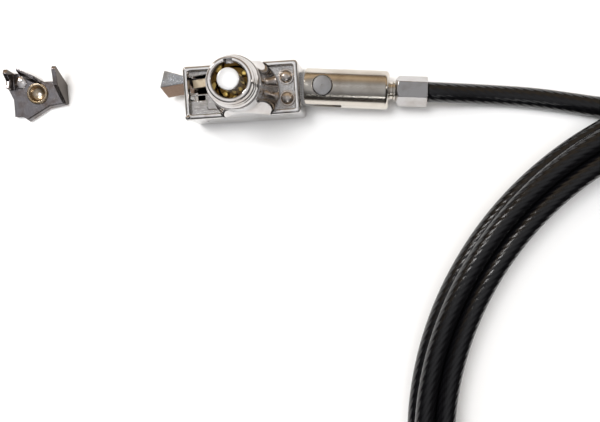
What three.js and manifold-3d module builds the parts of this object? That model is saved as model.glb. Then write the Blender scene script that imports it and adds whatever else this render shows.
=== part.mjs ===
// Laptop cable lock: a small cast lock body with a tubular key barrel and a swinging hook, a clevis
// stem with a swivelling neck, a crimped ferrule, and 1.8 m of coated steel cable wound in a coil
// with an eye at its far end. The loose slot bracket of the kit lies in front of the hook.
// Millimetres, +Z up. Origin: underside of the lock body, straight below the key barrel's axis.
// +X runs along the lock body towards the cable, +Y to its back.
import * as THREE from "three";
import { mergeVertices } from "three/addons/utils/BufferGeometryUtils.js";
import Module from "manifold-3d";

const wasm = await Module();
wasm.setup();

// ---- Driving dimensions ----------------------------------------------------------------------
const GAP = 0.12; // clearance between neighbouring small pieces
const FACE_GAP = 0.3; // gap between pieces that meet face to face

const BODY = { left: -11.2, right: 9.6, midY: 0.35, width: 9.6, height: 8.1, corner: 0.6 };
const WALL = 0.9; // thickness of the casting's walls, and width of the rim on its top
const RECESS_Z = 7.1; // floor of the shallow recess inside the rim
const DECK = 0.7; // thickness of the casting under that floor
const CAVITY_Z = RECESS_Z - DECK; // roof of the space that holds the mechanism
const PLATE = { thick: 0.8, inset: 0.7 }; // base plate, let into the underside

const BARREL = {
  foot: 5.95, neck: 4.4, lip: 4.6, bore: 3.6, spigot: 4.0, neckZ: 13.4, lipZ: 17.0, top: 17.8,
};
const NOSE = { shoulder: 4.4, lip: 3.55, mouth: 2.95, low: 17.92, cone: 18.35, top: 20.3 };
const CASE = { radius: 3.45, low: 9.0 };
const KEYWAY = { width: 1.3, depth: 1.7, reach: 3.3 };
const POST = { radius: 1.83, top: 21.0 };
const DISC = { radius: 2.8, low: 13.2, top: 15.6 };
const TAIL = { radius: 1.2, low: 2.2 };
const BUSHING = { radius: 2.8, low: 9.3, top: 13.1, bore: 1.35 };
const PIN = { count: 7, pitch: 45, radius: 0.5, hole: 0.56, circle: 2.38 };
const KEY_PIN = { low: 14.2, top: 16.4 }; // its tip stands out of the disc towards the key
const DRIVER = { low: 11.9, top: 13.0 };
const PIN_SPRING = { low: 9.95, top: 11.7, coil: 0.33, wire: 0.1, turns: 3, floor: 9.7 };

const CAM = { radius: 1.9, lobe: 3.1, lobeHalf: 0.9, low: 4.6, top: 6.0 };
const CLIP = { radius: 1.9, low: 3.7, top: 4.3 };
const PIVOT = { x: -3.2, y: 2.9, radius: 0.7, eye: 1.2, low: 1.0, top: 6.2 };
const BAR = { low: 4.7, top: 6.1, half: 0.8, end: [-10.0, 2.2] };
const TONGUE = { low: 2.2, shankTop: 4.4, top: 6.4, shankEnd: [-10.2, 2.6], shankHalf: 0.95 };
const SPRING_BLADE = { left: -9.6, right: -1.4, thick: 0.3, low: 2.4, top: 4.2 };
const TONGUE_TOP = [
  [-10.5, 3.75], [-11.55, 3.83], [-14.96, 5.05], [-15.95, 1.97], [-11.64, 2.45], [-10.5, 2.45],
];
const TONGUE_LOW = [
  [-10.5, 3.6], [-11.55, 3.6], [-14.96, 4.6], [-15.9, 0.7], [-11.64, 1.25], [-10.5, 1.35],
];
const WINDOW = { front: -0.5, back: 4.05, low: 1.9, top: 6.75 }; // where the tongue leaves the body
const POCKET = { left: -10.3, right: -5.2, front: 0.2, back: 4.2 }; // opening above the bar
const STEP = { left: -8.0, right: -2.0, front: -2.7, back: 0.2, rise: 0.35 }; // raised pad
const PEEP = { left: -10.3, right: -8.1, front: -0.9 }; // small window beside the pocket
const RIVET = { x: 7.25, spread: 1.92, shank: 0.75, hole: 0.87, dome: 1.12, flange: 1.34 };
const FLANGE = 0.18; // thickness of a rivet's flat ring
const TEST_HOLE = { x: -8.2, z: 4.2, radius: 0.35 };

const AXIS_Z = 4.0; // height of the stem, neck and ferrule axis
const CLEVIS = { x: 13.7, y: 0.35, turn: -6 }; // hinge of the stem, and how far it stands turned
const LUG = { thick: 2.4, half: 2.9, root: 4.8, halfRoot: 3.6 };
const STEM = { radius: 3.525, left: -3.35, right: 11.95, corner: 0.9, slot: 2.6, slotEnd: 3.3 };
const STEM_BORE = { radius: 2.6, end: 10.5, neck: 1.95 };
const CROSS_PIN = { radius: 1.72, hole: 1.85, low: 0.7, top: 7.42 };
const SWIVEL = { head: 2.4, headLeft: 8.6, headRight: 9.8, neck: 1.8, shank: 1.5, end: 15.4 };
const WASHER = { left: 9.92, right: 10.38 };
const FERRULE = { left: 13.1, right: 19.0, across: 4.9, bore: 1.65, boreEnd: 15.7, cable: 1.95 };

const CABLE = { radius: 1.85, sides: 8 };
const COIL = { outer: 4.65, inner: 4.25, height: 10.8 }; // the bundle of six turns about its middle line
const COIL_LEFT = { x: 91.6, y: -69.5, radius: 62.35, from: 115, to: 176 }; // the long left-hand curve
const COIL_LOW_RADIUS = 28;
const COIL_HIGH_RADIUS = 30;
const EYE_SLEEVE = { length: 12, width: 8.6, height: 4.6 };
const TIE = { width: 12, thick: 0.9, clearance: 0.3, slack: 0.6, angle: 344 };

const BRACKET = {
  x: -41.1, y: 3.3, sheet: 0.8, hole: 1.45, seat: 2.0, collar: 0.35, finX: 4.5, hornX: -5.5,
};

// ---- Materials -------------------------------------------------------------------------------
const metal = (color, roughness) => new THREE.MeshStandardMaterial({ color, roughness, metalness: 1 });
const plain = (color, roughness) => new THREE.MeshStandardMaterial({ color, roughness, metalness: 0 });
const finish = {
  cast: metal(0xd6d3cf, 0.16),
  nickel: metal(0xc9c4bc, 0.28),
  steel: metal(0x9a9896, 0.42),
  brass: metal(0xc49a3c, 0.3),
  sheet: metal(0x8f8a86, 0.35),
  vinyl: plain(0x0c0c0d, 0.35),
  strap: plain(0x151517, 0.85),
};

// ---- Solids ----------------------------------------------------------------------------------
function solid(geometry) {
  const bare = geometry.index ? geometry.clone() : geometry;
  bare.deleteAttribute("normal");
  bare.deleteAttribute("uv");
  const merged = mergeVertices(bare, 1e-5);
  const vertProperties = new Float32Array(merged.attributes.position.array);
  const triVerts = new Uint32Array(merged.index.array);
  const made = new wasm.Manifold(new wasm.Mesh({ numProp: 3, vertProperties, triVerts }));
  return made;
}

function geometryOf(manifold) {
  const { vertProperties, triVerts } = manifold.getMesh();
  const geometry = new THREE.BufferGeometry();
  geometry.setAttribute("position", new THREE.BufferAttribute(new Float32Array(vertProperties), 3));
  geometry.setIndex(new THREE.BufferAttribute(new Uint32Array(triVerts), 1));
  geometry.computeVertexNormals();
  return geometry;
}

const cut = (body, ...tools) => tools.reduce((left, tool) => left.subtract(tool), body);
const join = (first, ...others) => others.reduce((sum, other) => sum.add(other), first);

// A body turned about Z: profile points are [radius, z], going up the outside.
function turned(profile, segments = 32) {
  const points = profile.map(([r, z]) => new THREE.Vector2(r, z));
  return new THREE.LatheGeometry(points, segments).rotateX(Math.PI / 2);
}

const disc = (radius, low, top, segments = 32) =>
  turned([[0, low], [radius, low], [radius, top], [0, top]], segments);

const washer = (bore, radius, low, top, segments = 24) =>
  turned([[bore, low], [radius, low], [radius, top], [bore, top], [bore, low]], segments);

function box(x0, x1, y0, y1, z0, z1) {
  return new THREE.BoxGeometry(x1 - x0, y1 - y0, z1 - z0)
    .translate((x0 + x1) / 2, (y0 + y1) / 2, (z0 + z1) / 2);
}

function shapeOf(points) {
  return new THREE.Shape(points.map(([x, y]) => new THREE.Vector2(x, y)));
}

function prism(shape, low, top, curveSegments = 8) {
  const options = { depth: top - low, bevelEnabled: false, curveSegments };
  return new THREE.ExtrudeGeometry(shape, options).translate(0, 0, low);
}

function roundedBox(x0, x1, y0, y1, z0, z1, r) {
  const shape = new THREE.Shape();
  const quarter = Math.PI / 2;
  shape.absarc(x1 - r, y0 + r, r, -quarter, 0);
  shape.absarc(x1 - r, y1 - r, r, 0, quarter);
  shape.absarc(x0 + r, y1 - r, r, quarter, 2 * quarter);
  shape.absarc(x0 + r, y0 + r, r, 2 * quarter, 3 * quarter);
  return prism(shape, z0, z1, 2);
}

// A prism whose lower and upper outlines differ; both run anticlockwise seen from above.
function loft(lowOutline, low, topOutline, top) {
  const count = lowOutline.length;
  const points = [...lowOutline.map(([x, y]) => [x, y, low]), ...topOutline.map(([x, y]) => [x, y, top])];
  const faces = THREE.ShapeUtils.triangulateShape(topOutline.map(([x, y]) => new THREE.Vector2(x, y)), []);
  const index = [];
  for (const [a, b, c] of faces) index.push(a + count, b + count, c + count, a, c, b);
  for (let i = 0; i < count; i += 1) {
    const next = (i + 1) % count;
    index.push(i, next, next + count, i, next + count, i + count);
  }
  const geometry = new THREE.BufferGeometry();
  geometry.setAttribute("position", new THREE.Float32BufferAttribute(points.flat(), 3));
  geometry.setIndex(index);
  return geometry;
}

// A round tube of the cable's size along a list of points.
function tube(points, radius, sides, steps, closed = false) {
  const curve = new THREE.CatmullRomCurve3(points.map((p) => new THREE.Vector3(...p)), closed);
  const section = new THREE.Shape();
  for (let i = 0; i < sides; i += 1) {
    const angle = (2 * Math.PI * (i + 0.5)) / sides;
    const x = radius * Math.cos(angle);
    const y = radius * Math.sin(angle);
    if (i === 0) section.moveTo(x, y);
    else section.lineTo(x, y);
  }
  section.closePath();
  return new THREE.ExtrudeGeometry(section, { steps, extrudePath: curve, bevelEnabled: false });
}

const part = new THREE.Group();
function add(name, shape, material, parent = part) {
  const geometry = shape instanceof THREE.BufferGeometry ? shape : geometryOf(shape);
  const mesh = new THREE.Mesh(geometry, material);
  mesh.name = name;
  parent.add(mesh);
  return mesh;
}

// ---- Lock body -------------------------------------------------------------------------------
const front = BODY.midY - BODY.width / 2;
const back = BODY.midY + BODY.width / 2;
const rivetY = [BODY.midY - RIVET.spread, BODY.midY + RIVET.spread];
const rivetHoles = (low, top) =>
  rivetY.map((y) => solid(disc(RIVET.hole, low, top, 16).translate(RIVET.x, y, 0)));

function housing() {
  const { left, right, height, corner } = BODY;
  const block = solid(roundedBox(left, right, front, back, 0, height, corner));
  const inner = [left + WALL, right - WALL, front + WALL, back - WALL];
  const recess = solid(box(...inner, RECESS_Z, height + 1));
  const stepTop = RECESS_Z + STEP.rise;
  const step = solid(box(STEP.left, STEP.right, STEP.front, STEP.back, RECESS_Z - 0.1, stepTop));
  const cavity = solid(box(...inner, -1, CAVITY_Z));
  const { inset, thick } = PLATE;
  const seat = solid(box(left + inset, right - inset, front + inset, back - inset, -1, thick + GAP));
  const footing = solid(disc(BARREL.foot + GAP, RECESS_Z, height + 1, 40));
  const bore = solid(disc(BARREL.spigot + GAP, CAVITY_Z - 1, height, 40));
  const under = CAVITY_Z - 1;
  const pocket = solid(box(POCKET.left, POCKET.right, POCKET.front, POCKET.back, under, RECESS_Z + 1));
  const peep = solid(box(PEEP.left, PEEP.right, PEEP.front, POCKET.front + 0.1, under, RECESS_Z + 0.2));
  const windowCut = solid(box(left - 1, left + 2, WINDOW.front, WINDOW.back, WINDOW.low, WINDOW.top));
  const lugHalf = LUG.half + GAP;
  const lugSlot = solid(box(right - 2, right + 1, CLEVIS.y - lugHalf, CLEVIS.y + lugHalf,
    AXIS_Z - LUG.thick / 2 - GAP, AXIS_Z + LUG.thick / 2 + GAP));
  const testHole = solid(disc(TEST_HOLE.radius, -2, 2, 12).rotateX(Math.PI / 2)
    .translate(TEST_HOLE.x, front, TEST_HOLE.z));
  return cut(join(cut(block, recess), step), cavity, seat, footing, bore, pocket, peep, windowCut,
    lugSlot, testHole, ...rivetHoles(-1, height));
}

function basePlate() {
  const edge = PLATE.inset + GAP;
  const plate = solid(box(BODY.left + edge, BODY.right - edge, front + edge, back - edge, 0, PLATE.thick));
  return cut(plate, ...rivetHoles(-1, 2));
}

function lugPlate() {
  const low = AXIS_Z - LUG.thick / 2;
  const top = AXIS_Z + LUG.thick / 2;
  const { x, y } = CLEVIS;
  const rootEnd = BODY.right - WALL - GAP;
  const root = solid(box(LUG.root, rootEnd, y - LUG.halfRoot, y + LUG.halfRoot, low, top));
  const arm = solid(box(LUG.root, x, y - LUG.half, y + LUG.half, low, top));
  const eye = solid(disc(LUG.half, low, top).translate(x, y, 0));
  const pinHole = solid(disc(CROSS_PIN.hole, 0, BODY.height).translate(x, y, 0));
  return cut(join(root, arm, eye), pinHole, ...rivetHoles(0, BODY.height));
}

function rivet(y) {
  const seat = RECESS_Z + 0.06;
  const rise = 0.82;
  const profile = [[0, 0.1], [RIVET.shank, 0.1], [RIVET.shank, seat], [RIVET.flange, seat],
    [RIVET.flange, seat + FLANGE], [RIVET.dome, seat + FLANGE]];
  for (let i = 1; i <= 4; i += 1) {
    const angle = (i / 4) * (Math.PI / 2);
    profile.push([i === 4 ? 0 : RIVET.dome * Math.cos(angle), seat + FLANGE + rise * Math.sin(angle)]);
  }
  return turned(profile, 16).translate(RIVET.x, y, 0);
}

add("housing", housing(), finish.cast);
add("base_plate", basePlate(), finish.steel);
add("lug_plate", lugPlate(), finish.steel);
add("rivet_front", rivet(rivetY[0]), finish.nickel);
add("rivet_back", rivet(rivetY[1]), finish.nickel);

// ---- Key barrel ------------------------------------------------------------------------------
// The outer sleeve flares into a wide foot that is trimmed flush with the body's two long sides.
function barrel() {
  const { foot, neck, lip, bore, spigot, neckZ, lipZ, top } = BARREL;
  const seat = RECESS_Z + GAP;
  const outside = [[bore, CAVITY_Z], [spigot, CAVITY_Z], [spigot, seat], [foot, seat], [foot, BODY.height]];
  for (let i = 1; i <= 6; i += 1) {
    const t = i / 6;
    outside.push([neck + (foot - neck) * (1 - t) ** 1.8, BODY.height + (neckZ - BODY.height) * t]);
  }
  outside.push([neck, lipZ - 0.1], [lip, lipZ], [lip, lipZ + 0.5], [lip - 0.3, lipZ + 0.55]);
  outside.push([lip - 0.3, top], [bore, top], [bore, CAVITY_Z]);
  const sleeve = solid(turned(outside, 40));
  const slab = solid(box(-9, 9, front, back, 0, 30));
  return sleeve.intersect(slab);
}

// The lock cylinder's case: a chamfered nose with the key's ring-shaped mouth, and a thin tube below.
function cylinderCase() {
  const { shoulder, lip, mouth, low, cone, top } = NOSE;
  const profile = [[mouth, CASE.low], [CASE.radius, CASE.low], [CASE.radius, low], [shoulder, low],
    [shoulder, cone], [lip + 0.15, top - 0.35], [lip, top], [mouth, top], [mouth, CASE.low]];
  const shell = solid(turned(profile, 40));
  const { width, depth, reach } = KEYWAY;
  const notch = solid(box(-width / 2, width / 2, 2, reach, top - depth, top + 1));
  return cut(shell, notch);
}

// Pins stand at seven of eight even places; the empty one faces the keyway.
const pinPlaces = Array.from({ length: PIN.count }, (_, i) => {
  const angle = THREE.MathUtils.degToRad(90 + PIN.pitch * (i + 1));
  return [PIN.circle * Math.cos(angle), PIN.circle * Math.sin(angle)];
});
const pinHoles = (low, top) =>
  pinPlaces.map(([x, y]) => solid(disc(PIN.hole, low, top, 10).translate(x, y, 0)));

function spindle() {
  const profile = [[0, TAIL.low], [TAIL.radius, TAIL.low], [TAIL.radius, DISC.low], [DISC.radius, DISC.low],
    [DISC.radius, DISC.top], [POST.radius, DISC.top], [POST.radius, POST.top - 0.15],
    [POST.radius - 0.15, POST.top], [0, POST.top]];
  return cut(solid(turned(profile, 28)), ...pinHoles(DISC.low - 1, DISC.top + 1)
    .map((hole) => hole.subtract(solid(disc(POST.radius + 0.02, 0, 30)))));
}

function bushing() {
  const { radius, low, top, bore } = BUSHING;
  return cut(solid(washer(bore, radius, low, top, 32)), ...pinHoles(PIN_SPRING.floor, top + 1));
}

function keyPin() {
  const { low, top } = KEY_PIN;
  const r = PIN.radius;
  return turned([[0, low], [r, low], [r, top - 0.2], [r * 0.7, top], [0, top]], 10);
}

function pinSpring() {
  const { low, top, coil, wire, turns } = PIN_SPRING;
  const points = Array.from({ length: turns * 6 + 1 }, (_, i) => {
    const angle = (i / 6) * 2 * Math.PI;
    const z = low + wire + ((top - low - 2 * wire) * i) / (turns * 6);
    return [coil * Math.cos(angle), coil * Math.sin(angle), z];
  });
  return tube(points, wire, 4, turns * 6);
}

add("barrel_sleeve", barrel(), finish.cast);
add("cylinder_case", cylinderCase(), finish.cast);
add("spindle", spindle(), finish.brass);
add("pin_bushing", bushing(), finish.brass);
pinPlaces.forEach(([x, y], i) => {
  add(`key_pin_${i + 1}`, keyPin(), finish.brass).position.set(x, y, 0);
  const driver = disc(PIN.radius, DRIVER.low, DRIVER.top, 10);
  add(`driver_pin_${i + 1}`, driver, finish.steel).position.set(x, y, 0);
  add(`pin_spring_${i + 1}`, pinSpring(), finish.steel).position.set(x, y, 0);
});

// ---- Cam and hook ----------------------------------------------------------------------------
function driveCam() {
  const plate = solid(disc(CAM.radius, CAM.low, CAM.top));
  const lobe = solid(box(0, CAM.lobe - CAM.lobeHalf, -CAM.lobeHalf, CAM.lobeHalf, CAM.low, CAM.top));
  const tip = solid(disc(CAM.lobeHalf, CAM.low, CAM.top, 16).translate(CAM.lobe - CAM.lobeHalf, 0, 0));
  return cut(join(plate, lobe, tip), solid(disc(TAIL.radius + GAP, 0, BODY.height)));
}

// A flat bar with two round ends between two points in plan.
function link(ax, ay, bx, by, half, low, top) {
  const angle = Math.atan2(by - ay, bx - ax);
  const quarter = Math.PI / 2;
  const shape = new THREE.Shape();
  shape.absarc(ax, ay, half, angle + quarter, angle + 3 * quarter);
  shape.absarc(bx, by, half, angle - quarter, angle + quarter);
  return prism(shape, low, top, 5);
}

function hookBar() {
  const [x, y] = BAR.end;
  const tilt = Math.atan2(y - PIVOT.y, x - PIVOT.x);
  const bar = solid(link(PIVOT.x, PIVOT.y, x, y, BAR.half, BAR.low, BAR.top));
  const eye = solid(disc(PIVOT.eye, BAR.low, BAR.top).translate(PIVOT.x, PIVOT.y, 0));
  const squareEnd = solid(box(-5, 0, -3, 3, 0, 9).rotateZ(tilt + Math.PI).translate(x, y, 0));
  const hole = solid(disc(PIVOT.radius + GAP, 0, 9, 20).translate(PIVOT.x, PIVOT.y, 0));
  return cut(join(bar, eye), squareEnd, hole);
}

function tongue() {
  const { low, shankTop, top, shankEnd, shankHalf } = TONGUE;
  const shank = solid(link(PIVOT.x, PIVOT.y, ...shankEnd, shankHalf, low, shankTop));
  const head = solid(loft(TONGUE_LOW, low, TONGUE_TOP, top));
  const eye = solid(disc(PIVOT.eye, low, shankTop).translate(PIVOT.x, PIVOT.y, 0));
  const hole = solid(disc(PIVOT.radius + GAP, 0, 9, 20).translate(PIVOT.x, PIVOT.y, 0));
  return cut(join(shank, head, eye), hole);
}

// A leaf spring lies along the front wall; its right end curls back.
function leafSpring() {
  const { left, right, thick, low, top } = SPRING_BLADE;
  const y = front + WALL + 0.5;
  const blade = [
    [left, y], [left + 0.4, y - thick], [right - 0.8, y - thick], [right, y + 0.9],
    [right - 0.2, y + 1], [right - 1, y], [left + 0.5, y],
  ];
  return prism(shapeOf(blade), low, top);
}

add("drive_cam", driveCam(), finish.steel);
add("cam_clip", washer(TAIL.radius + GAP, CLIP.radius, CLIP.low, CLIP.top), finish.steel);
add("hook_bar", hookBar(), finish.nickel);
add("tongue", tongue(), finish.steel);
const pivot = disc(PIVOT.radius, PIVOT.low, PIVOT.top, 20).translate(PIVOT.x, PIVOT.y, 0);
add("hook_pivot", pivot, finish.steel);
add("hook_spring", leafSpring(), finish.steel);

// ---- Stem, swivel and ferrule: built along +X from the clevis hinge, then turned --------------
const stem = new THREE.Group();
stem.position.set(CLEVIS.x, CLEVIS.y, AXIS_Z);
stem.rotation.z = THREE.MathUtils.degToRad(CLEVIS.turn);
part.add(stem);
const along = (profile, segments = 32) => turned(profile, segments).rotateY(Math.PI / 2);

function stemSleeve() {
  const { radius, left, right, corner, slot, slotEnd } = STEM;
  const bar = solid(along([[0, left], [radius, left], [radius, right - 0.6], [radius - 0.18, right - 0.18],
    [radius - 0.6, right], [0, right]], 40));
  const plan = solid(roundedBox(left, right + 5, -radius - 0.01, radius + 0.01, -9, 9, corner));
  const opening = solid(box(left - 1, slotEnd, -9, 9, -slot / 2, slot / 2));
  const bore = solid(along([[0, slotEnd - 0.5], [STEM_BORE.radius, slotEnd - 0.5],
    [STEM_BORE.radius, STEM_BORE.end], [0, STEM_BORE.end]]));
  const neck = solid(along([[0, 5], [STEM_BORE.neck, 5], [STEM_BORE.neck, right + 1], [0, right + 1]]));
  const pinHole = solid(disc(CROSS_PIN.hole, -9, 9));
  return cut(bar.intersect(plan), opening, bore, neck, pinHole);
}

function swivelPin() {
  const { head, headLeft, headRight, neck, shank, end } = SWIVEL;
  return along([[0, headLeft], [head, headLeft], [head, headRight], [neck, headRight],
    [neck, FERRULE.left - GAP], [shank, FERRULE.left - GAP], [shank, end], [0, end]], 24);
}

function hexFerrule() {
  const { left, right, across, bore, boreEnd, cable } = FERRULE;
  const corner = across / Math.sqrt(3);
  const hexagon = shapeOf(Array.from({ length: 6 }, (_, i) => {
    const angle = (i * Math.PI) / 3;
    return [corner * Math.cos(angle), corner * Math.sin(angle)];
  }));
  const bar = solid(prism(hexagon, left, right).rotateZ(Math.PI / 2).rotateY(Math.PI / 2));
  const chamfer = solid(along([[0, left], [across / 2 - 0.45, left], [corner + 0.1, left + 0.75],
    [corner + 0.1, right], [0, right]]));
  const shankHole = solid(along([[0, left - 1], [bore, left - 1], [bore, boreEnd], [0, boreEnd]], 24));
  const seat = boreEnd + 0.6;
  const cableHole = solid(along([[0, seat], [cable, seat], [cable, right + 1], [0, right + 1]], 24));
  return cut(bar.intersect(chamfer), shankHole, cableHole);
}

add("stem_sleeve", stemSleeve(), finish.nickel, stem);
const crossPin = disc(CROSS_PIN.radius, CROSS_PIN.low - AXIS_Z, CROSS_PIN.top - AXIS_Z);
add("cross_pin", crossPin, finish.steel, stem);
add("swivel_washer", washer(STEM_BORE.neck, STEM_BORE.radius - GAP, WASHER.left, WASHER.right)
  .rotateY(Math.PI / 2), finish.brass, stem);
add("swivel_pin", swivelPin(), finish.nickel, stem);
add("ferrule", hexFerrule(), finish.nickel, stem);

// ---- Cable -----------------------------------------------------------------------------------
// The middle line of the coil is four tangent arcs and a short straight on its right-hand side.
const polar = (x, y, radius, degrees) => {
  const angle = THREE.MathUtils.degToRad(degrees);
  return [x + radius * Math.cos(angle), y + radius * Math.sin(angle)];
};
const [lowX, lowY] = polar(COIL_LEFT.x, COIL_LEFT.y, COIL_LEFT.radius - COIL_LOW_RADIUS, COIL_LEFT.to);
const [highX, highY] = polar(COIL_LEFT.x, COIL_LEFT.y, COIL_LEFT.radius - COIL_HIGH_RADIUS, COIL_LEFT.from);
const sideRadius = highX + COIL_HIGH_RADIUS - lowX;
const coilArcs = [
  { x: COIL_LEFT.x, y: COIL_LEFT.y, radius: COIL_LEFT.radius, from: COIL_LEFT.from, to: COIL_LEFT.to },
  { x: lowX, y: lowY, radius: COIL_LOW_RADIUS, from: COIL_LEFT.to, to: 270 },
  { x: lowX, y: lowY - COIL_LOW_RADIUS + sideRadius, radius: sideRadius, from: 270, to: 360 },
  { x: highX, y: highY, radius: COIL_HIGH_RADIUS, from: 0, to: COIL_LEFT.from },
];

function coilOutline(offset) {
  const outline = new THREE.Shape();
  for (const { x, y, radius, from, to } of coilArcs) {
    outline.absarc(x, y, radius + offset, THREE.MathUtils.degToRad(from), THREE.MathUtils.degToRad(to));
  }
  return outline;
}

const sideArc = coilArcs[2];
function atTie(geometry) {
  const [x, y] = polar(sideArc.x, sideArc.y, sideArc.radius, TIE.angle);
  return geometry.rotateZ(THREE.MathUtils.degToRad(TIE.angle)).translate(x, y, 0);
}

// Boxes about the bundle's section at the tie: X outwards from the coil's middle, Y along the turns.
const tieBox = (grow, low, top, length) =>
  atTie(box(-COIL.inner - grow, COIL.outer + grow, -length / 2, length / 2, low, top));

function cableCoil() {
  const outline = coilOutline(COIL.outer);
  outline.holes.push(new THREE.Path(coilOutline(-COIL.inner).getPoints(8)));
  const notch = solid(tieBox(2, -1, TIE.thick + TIE.clearance, TIE.width + 2 * TIE.clearance));
  return cut(solid(prism(outline, 0, COIL.height, 8)), notch);
}

function cableTie() {
  const { thick, clearance, slack, width } = TIE;
  const outer = solid(tieBox(thick + clearance + slack, 0, COIL.height + clearance + thick, width));
  return cut(outer, solid(tieBox(clearance + slack, thick, COIL.height + clearance, width + 2)));
}

const ferruleEnd = [
  CLEVIS.x + (FERRULE.right + FACE_GAP) * Math.cos(THREE.MathUtils.degToRad(CLEVIS.turn)),
  CLEVIS.y + (FERRULE.right + FACE_GAP) * Math.sin(THREE.MathUtils.degToRad(CLEVIS.turn)),
];
const LEAD = [
  [...ferruleEnd, AXIS_Z], [37.0, -2.05, 3.55], [41.5, -2.4, 2.6], [46.1, -2.85, 1.95],
  [50.0, -3.35, 1.86], [54.0, -4.0, 1.86], [59.0, -5.0, 1.86], [63.4, -5.95, 1.86],
];
const TAIL_RUN = [
  [99.0, -29.9, 2.1], [99.5, -32.3, 2.1], [98.9, -34.9, 2.15], [97.5, -37.5, 2.25], [96.1, -39.9, 2.3],
];
const EYE_PLACE = { x: 90.1, y: -50.7, turn: 241 };

// The eye about the sleeve's mouth: one half of the loop, mirrored for the other.
const EYE_HALF = [[2.0, 0.5], [2.3, 3.3], [4.6, 8.3], [8.0, 13.8], [10.2, 19.6], [10.2, 25.4], [6.9, 31.6]];
const EYE_TOP = 34.4;
const eyeLoop = [
  ...EYE_HALF.map(([x, y]) => [-x, y]), [0, EYE_TOP], ...EYE_HALF.toReversed(),
].map(([x, y]) => [x, y, CABLE.radius + 0.01]);

const eyePlace = new THREE.Group();
eyePlace.position.set(EYE_PLACE.x, EYE_PLACE.y, 0);
eyePlace.rotation.z = THREE.MathUtils.degToRad(EYE_PLACE.turn - 90);
part.add(eyePlace);

// The crimped sleeve holds the cable's end beside the cable: two bores side by side.
function eyeSleeve() {
  const { length, width, height } = EYE_SLEEVE;
  const r = height / 2;
  const shape = new THREE.Shape();
  shape.absarc(width / 2 - r, r, r, -Math.PI / 2, Math.PI / 2);
  shape.absarc(-width / 2 + r, r, r, Math.PI / 2, 1.5 * Math.PI);
  return prism(shape, 0, length, 6).rotateX(Math.PI / 2);
}

add("cable_lead", tube(LEAD, CABLE.radius, CABLE.sides, 12), finish.vinyl);
add("cable_coil", cableCoil(), finish.vinyl);
add("cable_tie", cableTie(), finish.strap);
add("cable_tail", tube(TAIL_RUN, CABLE.radius, CABLE.sides, 8), finish.vinyl);
add("eye_sleeve", eyeSleeve(), finish.nickel, eyePlace);
add("cable_eye", tube(eyeLoop, CABLE.radius, CABLE.sides, 30), finish.vinyl, eyePlace);

// ---- Slot bracket ----------------------------------------------------------------------------
// A small folded steel bracket: a flat foot with a countersunk hole, a leaning fin on the right,
// and two low walls along its left and back edges. Outlines are about the hole's centre.
const FOOT = [[-5.4, 0.9], [-4.6, -1.2], [-4.6, -3.9], [-2.9, -4.4], [1.4, -2.2], [5.2, -2.2], [5.2, 1.6],
  [2.75, 2.3], [1.0, 2.3], [-2.9, 4.2], [-5.4, 4.2]];
const FIN = [[-2.2, 0], [1.6, 0], [4.4, 4.2], [3.8, 4.5], [0.9, 4.0], [-2.2, 1.0]]; // Y, Z
const HORN = [[0.9, 0], [4.2, 0], [4.7, 2.6], [3.9, 2.9], [2.6, 1.9], [1.3, 2.3]]; // Y, Z

const bracket = new THREE.Group();
bracket.position.set(BRACKET.x, BRACKET.y, 0);
part.add(bracket);

function standing(outline, x, thick) {
  const upright = prism(shapeOf(outline), 0, thick).rotateY(Math.PI / 2).rotateX(Math.PI / 2);
  return solid(upright.translate(x, 0, 0));
}

function slotBracket() {
  const { sheet, hole, seat, collar, finX, hornX } = BRACKET;
  const foot = solid(prism(shapeOf(FOOT), 0, sheet));
  const fin = standing(FIN, finX, sheet);
  const horn = standing(HORN, hornX, sheet);
  const wall = solid(loft([[-3.0, 3.4], [1.0, 1.5], [1.0, 2.3], [-2.9, 4.2]], 0.2,
    [[-3.3, 4.2], [-0.2, 2.6], [-0.1, 3.3], [-3.2, 4.9]], 2.2));
  const ring = solid(disc(seat + 0.35, 0.1, sheet + collar, 24));
  const mouth = sheet + collar + 0.05;
  const bore = solid(turned([[0, -1], [hole, -1], [hole, sheet - 0.1], [seat, mouth], [0, mouth]], 24));
  return cut(join(foot, fin, horn, wall, ring), bore);
}

add("slot_bracket", slotBracket(), finish.sheet, bracket);

export default part;
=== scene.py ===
# Laptop cable lock on a white table: a bright cast lock body with a tubular key barrel and a hook, a
# hinged stem, a crimped ferrule, a coated steel cable wound in a coil with an eye at its far end,
# and the loose slot bracket that comes with it. Sizes are in millimetres, times MM for metres.
import math

import bmesh
import bpy
from mathutils import Matrix, Vector


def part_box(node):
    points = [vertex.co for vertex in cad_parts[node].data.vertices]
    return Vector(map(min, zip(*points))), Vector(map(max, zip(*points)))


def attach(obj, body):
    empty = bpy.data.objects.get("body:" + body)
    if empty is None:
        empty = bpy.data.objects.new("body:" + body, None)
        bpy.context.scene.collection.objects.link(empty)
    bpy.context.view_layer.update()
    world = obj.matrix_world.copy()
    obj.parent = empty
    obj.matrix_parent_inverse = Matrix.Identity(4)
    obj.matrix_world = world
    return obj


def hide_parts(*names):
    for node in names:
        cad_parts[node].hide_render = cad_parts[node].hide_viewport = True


MM = 0.001
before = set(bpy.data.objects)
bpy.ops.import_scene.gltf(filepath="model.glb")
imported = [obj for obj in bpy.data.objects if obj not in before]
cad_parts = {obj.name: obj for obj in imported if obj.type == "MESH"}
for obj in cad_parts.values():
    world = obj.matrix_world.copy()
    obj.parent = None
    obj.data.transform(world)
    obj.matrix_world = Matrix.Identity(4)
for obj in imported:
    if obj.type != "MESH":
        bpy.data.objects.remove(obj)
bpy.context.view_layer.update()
scene = bpy.context.scene

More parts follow.
